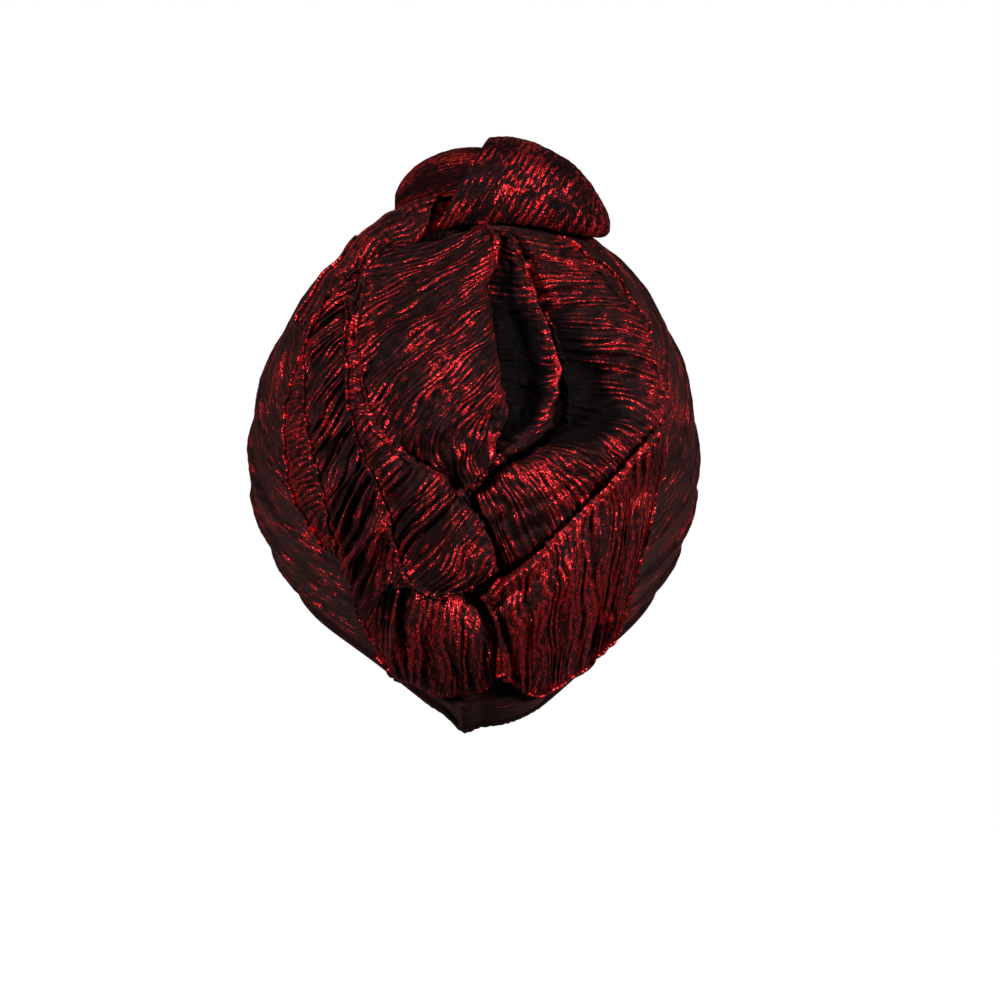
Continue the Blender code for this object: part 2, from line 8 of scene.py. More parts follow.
import bpy
import numpy as np
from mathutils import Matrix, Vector


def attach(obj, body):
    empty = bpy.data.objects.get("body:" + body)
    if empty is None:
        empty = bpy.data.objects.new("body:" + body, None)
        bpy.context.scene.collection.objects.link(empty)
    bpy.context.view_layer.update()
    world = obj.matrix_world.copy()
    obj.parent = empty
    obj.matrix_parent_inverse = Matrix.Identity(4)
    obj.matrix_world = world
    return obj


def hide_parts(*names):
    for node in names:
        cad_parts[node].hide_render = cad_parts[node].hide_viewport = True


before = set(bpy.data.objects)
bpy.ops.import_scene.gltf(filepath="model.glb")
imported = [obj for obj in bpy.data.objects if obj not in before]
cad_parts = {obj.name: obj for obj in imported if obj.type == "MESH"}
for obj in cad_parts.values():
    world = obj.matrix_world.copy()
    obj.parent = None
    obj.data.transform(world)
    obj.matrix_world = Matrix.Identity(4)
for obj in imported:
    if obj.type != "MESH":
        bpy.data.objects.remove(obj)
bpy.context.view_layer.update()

# Crown: two halves of one long cloth, wound from the nape round each side of the head to the front, where the right
# half laps over the left. A light knit with a red metal thread, crinkled into fine ribs that follow the winding.

CLOTH = 0.0018
GAP = 0.0006
CROWN_LEFT = 0.119
CROWN_RIGHT = 0.105
CROWN_RISE = 0.131
CROWN_DROP = 0.105
CROWN_BACK = 0.112
CROWN_FRONT = 0.112
CROWN_CENTRE_UP = 0.036
NAPE_STRETCH = 0.34
NAPE_HALF_WIDTH = 0.056
NAPE_REACH = 0.45
CORNER_ACROSS = -0.0125
CORNER_HALF_WIDTH = 0.0065
CORNER_STRETCH = 0.055
# Where the crown's bands start and end, for the first band and the last: degrees up from straight back
BANDS_START = (-61.0, 18.0)
BANDS_END = (190.5, 26.0)
LAP_ANGLE = 0.14
LAP_FADE = 0.22
CROWN_GIRTH = 0.30
CROWN_ROWS = 330
CROWN_COLUMNS = 96
CROWN_RIB_DEPTH = 0.0005
CROWN_RIB_SPACING = 0.0036
# Pleats: how sharply each rises, over which share it falls, what stays below the crown, and what is left at the ends
PLEAT_COUNT = 9
PLEAT_RELIEF = 0.0032
PLEAT_RISE = 1.4
PLEAT_FALL = 0.14
PLEAT_SUNK = 0.45
PLEAT_AT_ENDS = 0.35
PLEAT_FADE = 0.7
MILLIMETRE = 0.001
TEXTURE_UNIT = 10.0
WANDER_WAVES = 8
WANDER_PITCHES = (0.6, 1.5)
WANDER_START = 6.3
WANDER_SCALE = 2.6
# Wandering values: how much, how slowly along a rib, and over what size in metres
PLEAT_SWAY = (0.10, 0.2, 0.10)
RIB_DRIFT = (2.4, 0.45, 0.030)
RIB_FINE_DRIFT = (0.9, 0.5, 0.011)
RIB_CHANGE = (0.48, 0.5, 0.014)
RIB_CRINKLE = (0.20, 0.9, 0.0048)
GATHER_DRIFT = (2.8, 0.22, 0.040)
GATHER_CHANGE = (0.75, 0.3, 0.034)
RIB_STRENGTH = 0.62
RIB_LIMITS = (0.08, 1.4)
RIB_SHARPNESS = 1.8
GATHER_STRENGTH = 0.45
GATHER_LIMITS = (0.0, 1.4)


def smooth_step(value):
    """0 below 0, 1 above 1, and smooth between."""
    held = np.clip(value, 0.0, 1.0)
    return held * held * (3.0 - 2.0 * held)


def wander(along, across, seed, size):
    """A smooth field of about -1 to 1 whose features are about size wide, the same on every run."""
    draw = np.random.default_rng(seed)
    total = 0.0
    for _ in range(WANDER_WAVES):
        turn = draw.uniform(0.0, math.pi)
        pitch = 2.0 * math.pi / size * draw.uniform(*WANDER_PITCHES)
        place = along * math.cos(turn) + across * math.sin(turn)
        total = total + np.sin(pitch * place + draw.uniform(0.0, WANDER_START))
    return total / WANDER_SCALE


def drift(along, across, seed, much, slowly, size):
    """A wandering value that changes more slowly along a rib than across it."""
    return much * wander(along * slowly, across, seed, size)


def rib_relief(along, across, seed, spacing, depth):
    """Height of the crinkled ribs: along runs down a rib and across runs over them, both in metres."""
    sway = drift(along, across, seed, *RIB_DRIFT) + drift(along, across, seed + 1, *RIB_FINE_DRIFT)
    wave = 0.5 + 0.5 * np.cos(2.0 * math.pi * across / spacing + sway)
    strength = np.clip(RIB_STRENGTH + drift(along, across, seed + 2, *RIB_CHANGE), *RIB_LIMITS)
    crinkle = drift(along, across, seed + 3, *RIB_CRINKLE)
    return depth * (wave ** RIB_SHARPNESS * strength + crinkle)


def gather_relief(along, across, seed, spacing, depth):
    """Height of the deeper gathers, which wander, fade and run into each other."""
    sway = drift(along, across, seed + 5, *GATHER_DRIFT)
    wave = np.cos(2.0 * math.pi * across / spacing + sway)
    strength = np.clip(GATHER_STRENGTH + drift(along, across, seed + 6, *GATHER_CHANGE), *GATHER_LIMITS)
    return depth * wave * strength


def half_sizes(x, y, z):
    """Half width, depth and height of the crown on the sides where the points lie."""
    across = np.where(x < 0.0, CROWN_LEFT, CROWN_RIGHT)
    deep = np.where(y < 0.0, CROWN_BACK, CROWN_FRONT)
    high = np.where(z < 0.0, CROWN_DROP, CROWN_RISE)
    return across, deep, high


def nape_pull(x):
    """How much longer the crown hangs near the middle of the nape, with the cloth's corner at its lap."""
    corner = CORNER_STRETCH * np.exp(-((x - CORNER_ACROSS) / CORNER_HALF_WIDTH) ** 2)
    return NAPE_STRETCH * np.exp(-(x / NAPE_HALF_WIDTH) ** 2) + corner


def centre_line_point(turn):
    """Depth and height of the crown's middle line, at a turn measured up from straight back."""
    y = -CROWN_BACK * np.cos(turn) if np.cos(turn) > 0.0 else -CROWN_FRONT * np.cos(turn)
    z = CROWN_RISE * np.sin(turn) if np.sin(turn) > 0.0 else CROWN_DROP * np.sin(turn)
    return np.array([y, z])


def crown_points(side, band, sweep):
    """Points and outward directions: band 0 at the rim to 1 at the back, sweep 0 at the nape to pi at the front."""
    start = math.radians(BANDS_START[0] + (BANDS_START[1] - BANDS_START[0]) * band)
    end = math.radians(BANDS_END[0] + (BANDS_END[1] - BANDS_END[0]) * band)
    low = centre_line_point(start)
    far = centre_line_point(end)
    middle = 0.5 * (low + far)
    reach = 0.5 * (far - low)
    y = middle[0] - reach[0] * np.cos(sweep)
    z = middle[1] - reach[1] * np.cos(sweep)
    sign = side * np.where(np.sin(sweep) < 0.0, -1.0, 1.0)
    across, deep, high = half_sizes(sign, y, z)
    x = sign * across * np.sqrt(np.clip(1.0 - (y / deep) ** 2 - (z / high) ** 2, 0.0, 1.0))
    normal = np.stack([x / across ** 2, y / deep ** 2, z / high ** 2], axis=-1)
    normal /= np.linalg.norm(normal, axis=-1, keepdims=True)
    reach_down = np.clip(-y / CROWN_BACK / NAPE_REACH, 0.0, 1.0)
    pull = 1.0 + nape_pull(x) * reach_down
    return np.stack([x, y, np.where(z < 0.0, z * pull, z)], axis=-1), normal


def crown_grid(side, rows, columns, lap, seed):
    """Outer face of one half, how far it stands out, its places down and over the ribs, and the ribs' crests."""
    points, lifts, down_ribs, over_ribs, crests = [], [], [], [], []
    for band in np.linspace(0.0, 1.0, rows + 1):
        sweep = np.linspace(-lap, math.pi + lap, columns + 1)
        base, normal = crown_points(side, band, sweep)
        steps = np.linalg.norm(np.diff(base, axis=0), axis=1)
        along = np.concatenate([[0.0], np.cumsum(steps)])
        across = np.full_like(along, band * CROWN_GIRTH)
        ends = PLEAT_AT_ENDS + (1.0 - PLEAT_AT_ENDS) * np.sin(np.clip(sweep, 0.0, math.pi)) ** PLEAT_FADE
        fold = (band * PLEAT_COUNT + drift(along, across, seed + 9, *PLEAT_SWAY)) % 1.0
        fall = 1.0 - smooth_step((fold - (1.0 - PLEAT_FALL)) / PLEAT_FALL)
        lift = PLEAT_RELIEF * ends * (fold ** PLEAT_RISE * fall - PLEAT_SUNK)
        ribs = ends * rib_relief(along, across, seed, CROWN_RIB_SPACING, CROWN_RIB_DEPTH)
        lift = lift + ribs
        if lap > 0.0:
            near_end = np.minimum(sweep, math.pi - sweep)
            lift = lift + (CLOTH + 2.0 * GAP) * (1.0 - smooth_step((near_end - LAP_FADE) / LAP_FADE))
        points.append(base + normal * lift[:, None])
        lifts.append(lift)
        down_ribs.append(along)
        over_ribs.append(across)
        crests.append(ribs / CROWN_RIB_DEPTH)
    return (np.array(grid) for grid in (points, lifts, down_ribs, over_ribs, crests))


def cloth_piece(name, points, along, across, relief, material, closed=False):
    """A cloth shell from a grid of points on its outer face, with the knit's own directions as its UV map."""
    rows, columns = points.shape[:2]
    number = np.arange(rows * columns).reshape(rows, columns)
    if closed:
        number = np.concatenate([number, number[:, :1]], axis=1)
        along = np.concatenate([along, along[:, -1:] + (along[:, 1:2] - along[:, :1])], axis=1)
        across = np.concatenate([across, across[:, :1]], axis=1)
    corners = (slice(0, -1), slice(0, -1)), (slice(0, -1), slice(1, None)), (slice(1, None), slice(1, None)), \
        (slice(1, None), slice(0, -1))
    faces = np.stack([number[corner] for corner in corners], axis=-1).reshape(-1, 4)
    map_u = np.stack([along[corner] for corner in corners], axis=-1).reshape(-1, 4)
    map_v = np.stack([across[corner] for corner in corners], axis=-1).reshape(-1, 4)
    flat = points.reshape(-1, 3) + np.array([0.0, 0.0, CROWN_CENTRE_UP])
    middle = flat.mean(axis=0) if closed else np.array([0.0, 0.0, CROWN_CENTRE_UP])
    first, second, third = flat[faces[:, 0]], flat[faces[:, 1]], flat[faces[:, 2]]
    outward = (np.cross(second - first, third - second) * (first - middle)).sum()
    if outward < 0.0:
        faces, map_u, map_v = faces[:, ::-1], map_u[:, ::-1], map_v[:, ::-1]
    mesh = bpy.data.meshes.new(name)
    mesh.from_pydata(flat.tolist(), [], faces.tolist())
    layer = mesh.uv_layers.new(name="knit")
    layer.data.foreach_set("uv", np.stack([map_u, map_v], axis=-1).ravel() * TEXTURE_UNIT)
    crest = mesh.attributes.new("crest", "FLOAT", "POINT")
    crest.data.foreach_set("value", relief.ravel())
    mesh.polygons.foreach_set("use_smooth", np.ones(len(mesh.polygons), bool))
    mesh.materials.append(material)
    piece = bpy.data.objects.new(name, mesh)
    bpy.context.scene.collection.objects.link(piece)
    shell = piece.modifiers.new("cloth thickness", "SOLIDIFY")
    shell.thickness = CLOTH
    shell.offset = -1.0
    return piece


class Shade:
    """A socket of a material, so that sums on it are written as sums and add its Math nodes."""

    def __init__(self, knit, socket):
        self.knit = knit
        self.socket = socket

    def maths(self, operation, *values):
        return self.knit.node("ShaderNodeMath", {"operation": operation}, values)

    def __add__(self, other):
        return self.maths("ADD", self, other)

    def __radd__(self, other):
        return self.maths("ADD", other, self)

    def __sub__(self, other):
        return self.maths("SUBTRACT", self, other)

    def __rsub__(self, other):
        return self.maths("SUBTRACT", other, self)

    def __mul__(self, other):
        return self.maths("MULTIPLY", self, other)

    def __rmul__(self, other):
        return self.maths("MULTIPLY", other, self)


class Knit:
    """The node tree of one knitted cloth."""

    def __init__(self, name):
        self.material = bpy.data.materials.new(name)
        self.material.use_nodes = True
        self.tree = self.material.node_tree
        self.shader = self.tree.nodes["Principled BSDF"]

    def node(self, kind, settings=None, inputs=(), output=0):
        """A node of one kind, whose settings are made before its inputs are set or linked."""
        made = self.tree.nodes.new(kind)
        for key, value in (settings or {}).items():
            setattr(made, key, value)
        for key, value in (inputs.items() if isinstance(inputs, dict) else enumerate(inputs)):
            self.feed(made.inputs[key], value)
        return Shade(self, made.outputs[output])

    def feed(self, socket, value):
        if isinstance(value, Shade):
            self.tree.links.new(value.socket, socket)
        else:
            socket.default_value = value

    def step(self, value, low, high):
        """0 below low, 1 above high, and smooth between."""
        return self.node("ShaderNodeMapRange", {"interpolation_type": "SMOOTHSTEP"},
                         {"Value": value, "From Min": low, "From Max": high})

    def noise(self, place, scale, detail, roughness):
        return self.node("ShaderNodeTexNoise", None,
                         {"Vector": place, "Scale": scale, "Detail": detail, "Roughness": roughness})

    def mix(self, share, first, second):
        return self.node("ShaderNodeMix", {"data_type": "RGBA"}, {0: share, 6: first, 7: second}, output=2)


RIB_STRETCH = (1.0, 6.0, 1.0)
THREAD_STRETCH = (1.0, 1.3, 1.0)
# Painted shade: the dark colour painted into the rib grooves, below the ground colour that the crests get
GROOVE_SHADE_COLOUR = (0.0015, 0.0007, 0.0008, 1.0)
# Noises: scale, detail and roughness
STREAK_NOISE = (11.0, 4.0, 0.66)
PATCH_NOISE = (3.4, 2.0, 0.5)
THREAD_NOISE = (98.0, 1.0, 0.5)
# How much streaks, patches and the crests of the ribs bring the metal thread to the face
STREAKS_SHOW = 1.15
PATCHES_SHOW = 0.70
CRESTS_SHOW = 0.28
# From which level to which the painted ridge light over the painted groove shade, bright and dull metal thread and
# their dots come in
RIDGE_LIGHT_LEVELS = (-0.7, 0.8)
BRIGHT_LEVELS = (1.20, 1.27)
DULL_LEVELS = (1.00, 1.30)
BRIGHT_DOTS = (0.49, 0.52)
DULL_DOTS = (0.47, 0.56)
BRIGHT_METAL = 0.60
DULL_METAL = 0.40
KNIT_ROUGHNESS = 0.50
BRIGHT_SMOOTHER = 0.24
THREAD_HEIGHT = 0.42
KNIT_SPECULAR = 0.025
SHEEN_ROUGHNESS = 0.30
SHEEN_TINT = (0.80, 0.50, 0.45, 1.0)
KNIT_BUMP = 0.0013


def metallic_knit(name, ground, haze, foil, foil_share, sheen):
    """Black and maroon knit whose metal thread shows as broken streaks of fine dots along its ribs, with painted
    shade in the rib grooves and painted light on their crests.
    """
    knit = Knit(name)
    place = knit.node("ShaderNodeUVMap", {"uv_map": "knit"})
    stretched = knit.node("ShaderNodeVectorMath", {"operation": "MULTIPLY"}, (place, RIB_STRETCH))
    fine = knit.node("ShaderNodeVectorMath", {"operation": "MULTIPLY"}, (place, THREAD_STRETCH))
    crest = knit.node("ShaderNodeAttribute", {"attribute_name": "crest"}, output=2)
    streaks = knit.noise(stretched, *STREAK_NOISE)
    patches = knit.noise(place, *PATCH_NOISE)
    speckle = knit.noise(fine, *THREAD_NOISE)
    # Painted ridge light: share of the ground colour over the painted groove shade, by the height of the crest
    ridge_light = knit.step(crest, *RIDGE_LIGHT_LEVELS)
    shown = streaks * STREAKS_SHOW + patches * PATCHES_SHOW + crest * CRESTS_SHOW
    streak = knit.step(shown, *(level - foil_share for level in BRIGHT_LEVELS))
    haze_streak = knit.step(shown, *(level - foil_share for level in DULL_LEVELS))
    dull = haze_streak * knit.step(speckle, *DULL_DOTS)
    glitter = streak * knit.step(speckle, *BRIGHT_DOTS)
    # Cloth without metal thread, painted dark in the rib grooves and lighter on the crests
    groove_shaded_cloth = knit.mix(ridge_light, GROOVE_SHADE_COLOUR, ground)
    knit.feed(knit.shader.inputs["Base Color"], knit.mix(glitter, knit.mix(dull, groove_shaded_cloth, haze), foil))
    knit.feed(knit.shader.inputs["Metallic"], glitter * BRIGHT_METAL + dull * DULL_METAL)
    knit.feed(knit.shader.inputs["Roughness"], KNIT_ROUGHNESS - glitter * BRIGHT_SMOOTHER)
    knit.shader.inputs["Specular IOR Level"].default_value = KNIT_SPECULAR
    knit.shader.inputs["Sheen Weight"].default_value = sheen
    knit.shader.inputs["Sheen Roughness"].default_value = SHEEN_ROUGHNESS
    knit.shader.inputs["Sheen Tint"].default_value = SHEEN_TINT
    height = streaks + speckle * THREAD_HEIGHT
    bump = knit.node("ShaderNodeBump", None, {"Strength": 1.0, "Distance": KNIT_BUMP, "Height": height})
    knit.feed(knit.shader.inputs["Normal"], bump)
    return knit.material


crown_cloth = metallic_knit("crown_knit", ground=(0.016, 0.0048, 0.0050, 1.0), haze=(0.070, 0.006, 0.007, 1.0),
                            foil=(0.88, 0.024, 0.030, 1.0), foil_share=0.07, sheen=0.035)
# Side, how far the half laps past the middle line, and the seed of its ribs
CROWN_HALVES = (("crown_left", -1.0, 0.0, 11), ("crown_right", 1.0, LAP_ANGLE, 23))
crown_halves = []
for half_name, half_side, half_lap, half_seed in CROWN_HALVES:
    outer, _, rib_down, rib_over, crest = crown_grid(half_side, CROWN_ROWS, CROWN_COLUMNS, half_lap, half_seed)
    half = cloth_piece(half_name + "_knit", outer, rib_down, rib_over, crest, crown_cloth)
    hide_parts(half_name)
    crown_halves.append(half)

# Hem: the long edge of the same knit, rolled once and stitched, which sits on the head all round the rim. Its inner
# edge runs a little way up the inside of the crown.

HEM_WIDTH = 0.009
HEM_THICK = 0.0026
# Lines of the hem's outside and of its top: shares of its width inwards and of its thickness down
HEM_OUTSIDE = ((-0.05, 0.25), (0.08, 0.75), (0.25, 1.0), (0.55, 1.0), (0.80, 0.9), (0.95, 0.65), (1.0, 0.3),
               (0.85, -0.3))
HEM_TOP = ((0.32, -0.6), (0.22, -0.50), (0.04, -0.45))
# Lip up the inside of the crown: how clear of it each line is, and how far up, as a share of the crown's bands
HEM_LIP = (0.0026, 0.0012)
HEM_LIP_BAND = 0.020
HEM_STEPS = 181
HEM_CLOSING = 0.003
STITCH_DIP = 0.00025
STITCH_LENGTH = 0.0035
STITCHED = (0.2, 0.9)
hem_sweep = np.linspace(0.0, math.pi, HEM_STEPS)


def round_the_rim(band):
    """Points and outward directions all round the crown, a share of its girth above the rim."""
    right, left = (crown_points(side, band, hem_sweep) for side in (1.0, -1.0))
    return (np.concatenate([ahead, back[-2:0:-1]]) for ahead, back in zip(right, left))


rim, _ = round_the_rim(0.0)
lip, lip_out = round_the_rim(HEM_LIP_BAND)
inward = -rim * np.array([1.0, 1.0, 0.0])
inward /= np.linalg.norm(inward, axis=1, keepdims=True)
rim_place = np.concatenate([[0.0], np.cumsum(np.linalg.norm(np.diff(rim, axis=0), axis=1))])


def hem_line(share_in, share_down):
    """One line of the hem all round the rim, dimpled by the stitches where it is stitched."""
    dip = STITCH_DIP * np.cos(2.0 * math.pi * rim_place / STITCH_LENGTH) * (STITCHED[0] < share_in < STITCHED[1])
    drop = CLOTH * 0.5 + GAP * 2.0 + share_down * HEM_THICK + dip
    return rim + inward * (share_in * HEM_WIDTH) - np.array([0.0, 0.0, 1.0]) * drop[:, None]


hem_loops = [hem_line(*corner) for corner in HEM_OUTSIDE]
hem_loops += [lip - lip_out * (CLOTH + clear) for clear in HEM_LIP]
hem_loops += [hem_line(*corner) for corner in HEM_TOP]
hem_points = np.array(hem_loops).transpose(1, 0, 2)
hem_points = np.concatenate([hem_points, hem_points[:1]])
hem_along = np.repeat(np.append(rim_place, rim_place[-1] + HEM_CLOSING)[:, None], len(hem_loops), axis=1)
hem_across = np.repeat(np.linspace(0.0, 2.0 * HEM_WIDTH, len(hem_loops))[None, :], len(hem_points), axis=0)
hem = cloth_piece("hem_knit", hem_points, hem_along, hem_across, np.zeros(hem_points.shape[:2]), crown_cloth, True)
hem.modifiers.clear()
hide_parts("hem_band")
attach(hem, "root")
for half in crown_halves:
    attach(half, "root")

# Drape: the free tail of the cloth, gathered over the back of the crown in swags that lap one over another.
# Each panel is laid on the ones before it, and a height map of the back keeps them apart.

# Columns of a table, one row for each rib across the panel: across and up of the first edge, the middle and the
# second edge, in shares of the crown's half widths and rise, then how far each stands off the crown, in mm.

PLEAT_LEFT_OUTER = (
    (-0.60, 0.69, -0.58, 0.68, -0.56, 0.67, 4, 6, 5),
    (-0.70, 0.58, -0.67, 0.56, -0.63, 0.55, 4, 8, 7),
    (-0.76, 0.45, -0.74, 0.44, -0.69, 0.42, 4, 8, 7),
    (-0.83, 0.28, -0.78, 0.27, -0.71, 0.26, 4, 9, 7),
    (-0.85, 0.15, -0.79, 0.15, -0.71, 0.13, 4, 9, 7),
    (-0.84, 0.02, -0.78, 0.01, -0.68, 0.00, 4, 9, 7),
    (-0.82, -0.10, -0.75, -0.11, -0.66, -0.13, 4, 8, 7),
    (-0.76, -0.22, -0.70, -0.22, -0.62, -0.23, 4, 7, 6),
    (-0.70, -0.31, -0.66, -0.31, -0.61, -0.31, 4, 6, 6),
)
PLEAT_LEFT_INNER = (
    (-0.51, 0.74, -0.485, 0.735, -0.46, 0.73, 6, 8, 7),
    (-0.64, 0.65, -0.58, 0.67, -0.50, 0.68, 9, 11, 9),
    (-0.71, 0.55, -0.63, 0.58, -0.52, 0.61, 11, 12, 11),
    (-0.76, 0.44, -0.66, 0.48, -0.53, 0.53, 12, 12, 12),
    (-0.77, 0.32, -0.65, 0.39, -0.53, 0.46, 12, 12, 12),
    (-0.76, 0.19, -0.63, 0.28, -0.51, 0.36, 12, 12, 12),
    (-0.74, 0.06, -0.60, 0.15, -0.48, 0.24, 12, 12, 12),
    (-0.70, -0.08, -0.56, 0.02, -0.43, 0.11, 12, 12, 12),
    (-0.66, -0.24, -0.51, -0.13, -0.37, -0.01, 11, 12, 12),
    (-0.61, -0.39, -0.45, -0.27, -0.31, -0.15, 9, 12, 11),
    (-0.56, -0.53, -0.39, -0.41, -0.26, -0.31, 7, 11, 9),
    (-0.50, -0.65, -0.35, -0.54, -0.22, -0.44, 6, 10, 7),
    (-0.41, -0.77, -0.29, -0.65, -0.17, -0.54, 5, 8, 6),
)
SWAG_RIGHT_UPPER = (
    (0.06, 0.88, 0.21, 0.86, 0.34, 0.85, 8, 14, 4),
    (0.12, 0.81, 0.31, 0.79, 0.49, 0.79, 8, 15, 4),
    (0.18, 0.71, 0.44, 0.72, 0.62, 0.69, 7, 16, 4),
    (0.23, 0.61, 0.55, 0.62, 0.71, 0.59, 6, 18, 4),
    (0.28, 0.52, 0.65, 0.51, 0.78, 0.47, 5, 20, 4),
    (0.32, 0.42, 0.71, 0.39, 0.82, 0.33, 4, 22, 4),
    (0.35, 0.31, 0.74, 0.27, 0.84, 0.17, 4, 24, 5),
    (0.37, 0.21, 0.71, 0.16, 0.82, 0.01, 4, 26, 9),
    (0.34, 0.13, 0.61, 0.07, 0.75, -0.05, 6, 26, 10),
    (0.29, 0.08, 0.49, 0.03, 0.63, -0.11, 9, 26, 11),
    (0.21, 0.04, 0.35, -0.02, 0.51, -0.19, 11, 25, 12),
    (0.14, 0.01, 0.23, -0.06, 0.39, -0.28, 12, 24, 13),
    (0.06, -0.03, 0.11, -0.10, 0.28, -0.35, 12, 22, 12),
    (0.00, -0.08, 0.02, -0.15, 0.17, -0.40, 11, 19, 11),
    (-0.04, -0.13, -0.03, -0.18, 0.09, -0.41, 10, 16, 10),
)
COWL_FOLD = (
    (0.00, 0.89, 0.04, 0.89, 0.09, 0.87, 13, 14, 14),
    (0.00, 0.80, 0.08, 0.79, 0.16, 0.78, 10, 12, 15),
    (-0.01, 0.69, 0.11, 0.68, 0.22, 0.67, 7, 9, 16),
    (-0.01, 0.57, 0.14, 0.56, 0.27, 0.56, 5, 6, 18),
    (0.00, 0.46, 0.17, 0.45, 0.32, 0.46, 4, 4, 18),
    (0.01, 0.34, 0.18, 0.34, 0.35, 0.34, 4, 3, 18),
    (0.03, 0.25, 0.18, 0.24, 0.33, 0.25, 4, 4, 18),
    (0.01, 0.16, 0.14, 0.15, 0.27, 0.16, 5, 8, 16),
    (-0.03, 0.10, 0.08, 0.10, 0.18, 0.08, 8, 11, 14),
    (-0.07, 0.06, 0.01, 0.05, 0.09, 0.03, 9, 12, 12),
    (-0.09, 0.01, -0.05, -0.01, 0.00, -0.03, 10, 11, 12),
)
COWL_LOBE = (
    (-0.39, 0.82, -0.20, 0.84, -0.01, 0.90, 13, 17, 17),
    (-0.50, 0.76, -0.22, 0.77, 0.05, 0.85, 13, 19, 19),
    (-0.52, 0.68, -0.24, 0.70, 0.05, 0.77, 13, 21, 19),
    (-0.54, 0.56, -0.26, 0.61, 0.00, 0.67, 12, 22, 20),
    (-0.55, 0.44, -0.26, 0.51, 0.02, 0.56, 12, 23, 21),
    (-0.53, 0.32, -0.24, 0.39, 0.04, 0.45, 12, 24, 22),
    (-0.50, 0.20, -0.21, 0.28, 0.06, 0.35, 11, 24, 23),
    (-0.44, 0.10, -0.17, 0.19, 0.08, 0.27, 10, 22, 23),
    (-0.35, 0.02, -0.13, 0.10, 0.10, 0.21, 9, 19, 21),
    (-0.24, -0.03, -0.11, 0.04, 0.07, 0.13, 9, 15, 18),
    (-0.15, -0.08, -0.07, -0.03, 0.02, 0.05, 9, 13, 16),
    (-0.09, -0.13, -0.05, -0.09, -0.01, -0.04, 9, 12, 13),
)
SWAG_LEFT_LOWER = (
    (-0.42, -0.47, -0.46, -0.61, -0.45, -0.74, 9, 11, 7),
    (-0.38, -0.46, -0.40, -0.67, -0.38, -0.80, 12, 16, 9),
    (-0.29, -0.46, -0.32, -0.69, -0.30, -0.85, 13, 18, 9),
    (-0.20, -0.47, -0.22, -0.70, -0.20, -0.89, 15, 19, 9),
    (-0.12, -0.50, -0.12, -0.72, -0.11, -0.88, 16, 20, 9),
    (-0.03, -0.56, -0.04, -0.73, -0.03, -0.86, 16, 19, 10),
    (0.03, -0.63, 0.02, -0.75, 0.03, -0.82, 13, 15, 10),
    (0.08, -0.71, 0.08, -0.75, 0.07, -0.79, 10, 12, 10),
)
SWAG_LEFT_UPPER = (
    (-0.555, 0.69, -0.545, 0.69, -0.535, 0.69, 12, 14, 14),
    (-0.575, 0.61, -0.56, 0.615, -0.545, 0.62, 15, 18, 18),
    (-0.59, 0.50, -0.575, 0.505, -0.56, 0.51, 15, 18, 18),
    (-0.59, 0.36, -0.57, 0.365, -0.55, 0.37, 15, 18, 18),
    (-0.575, 0.23, -0.55, 0.235, -0.52, 0.24, 15, 18, 18),
    (-0.545, 0.09, -0.51, 0.11, -0.455, 0.13, 15, 19, 18),
    (-0.48, -0.06, -0.41, -0.02, -0.34, 0.03, 15, 20, 18),
    (-0.42, -0.19, -0.32, -0.11, -0.21, -0.03, 11, 21, 19),
    (-0.39, -0.32, -0.24, -0.22, -0.11, -0.12, 11, 23, 20),
    (-0.34, -0.44, -0.18, -0.33, -0.03, -0.22, 12, 25, 21),
    (-0.24, -0.51, -0.10, -0.41, 0.02, -0.31, 18, 26, 21),
    (-0.11, -0.49, -0.03, -0.43, 0.05, -0.36, 18, 24, 20),
    (-0.01, -0.45, 0.02, -0.42, 0.045, -0.40, 18, 20, 18),
)
SWAG_RIGHT_LOWER = (
    (0.84, 0.15, 0.80, -0.13, 0.64, -0.58, 4, 5, 2),
    (0.76, 0.10, 0.74, -0.21, 0.60, -0.65, 11, 10, 3),
    (0.66, -0.01, 0.64, -0.31, 0.54, -0.71, 15, 14, 3),
    (0.55, -0.11, 0.54, -0.39, 0.47, -0.77, 17, 16, 4),
    (0.44, -0.19, 0.44, -0.46, 0.39, -0.81, 18, 18, 4),
    (0.34, -0.28, 0.34, -0.52, 0.30, -0.86, 19, 20, 5),
    (0.23, -0.35, 0.25, -0.58, 0.23, -0.89, 20, 21, 8),
    (0.12, -0.41, 0.16, -0.61, 0.16, -0.88, 20, 21, 9),
    (0.04, -0.46, 0.10, -0.63, 0.12, -0.85, 19, 20, 11),
    (-0.02, -0.51, 0.05, -0.64, 0.06, -0.80, 17, 17, 12),
)
STRAND_LEFT = (
    (-0.79, 0.56, -0.77, 0.53, -0.74, 0.49, 1, 5, 3),
    (-0.70, 0.69, -0.67, 0.66, -0.63, 0.62, 2, 8, 3),
    (-0.60, 0.81, -0.57, 0.78, -0.53, 0.73, 3, 10, 3),
    (-0.50, 0.91, -0.46, 0.86, -0.41, 0.79, 6, 12, 4),
    (-0.39, 0.98, -0.36, 0.91, -0.33, 0.81, 9, 13, 5),
    (-0.30, 1.00, -0.29, 0.94, -0.29, 0.82, 12, 13, 6),
    (-0.20, 1.02, -0.225, 0.95, -0.265, 0.85, 13, 13, 7),
)
MAP_HALF = 0.16
MAP_CELL = 0.0015
MAP_SPREAD_STEPS = 3
MAP_SOFT_STEPS = 2
CROWN_MAP_GRID = (200, 240)
PANEL_MAP_GRID = (200, 70)
# Least share of its depth that the crown keeps at its outline, and how softly cloth leaves what it lies on
OUTLINE_SHARE = 0.03
LAYER_SOFTNESS = 0.0006
SETTLE_STEPS = 4
# Places in the tables were judged from this far behind the head, so nearer cloth is drawn in by a little
VIEW_DISTANCE = 2.0
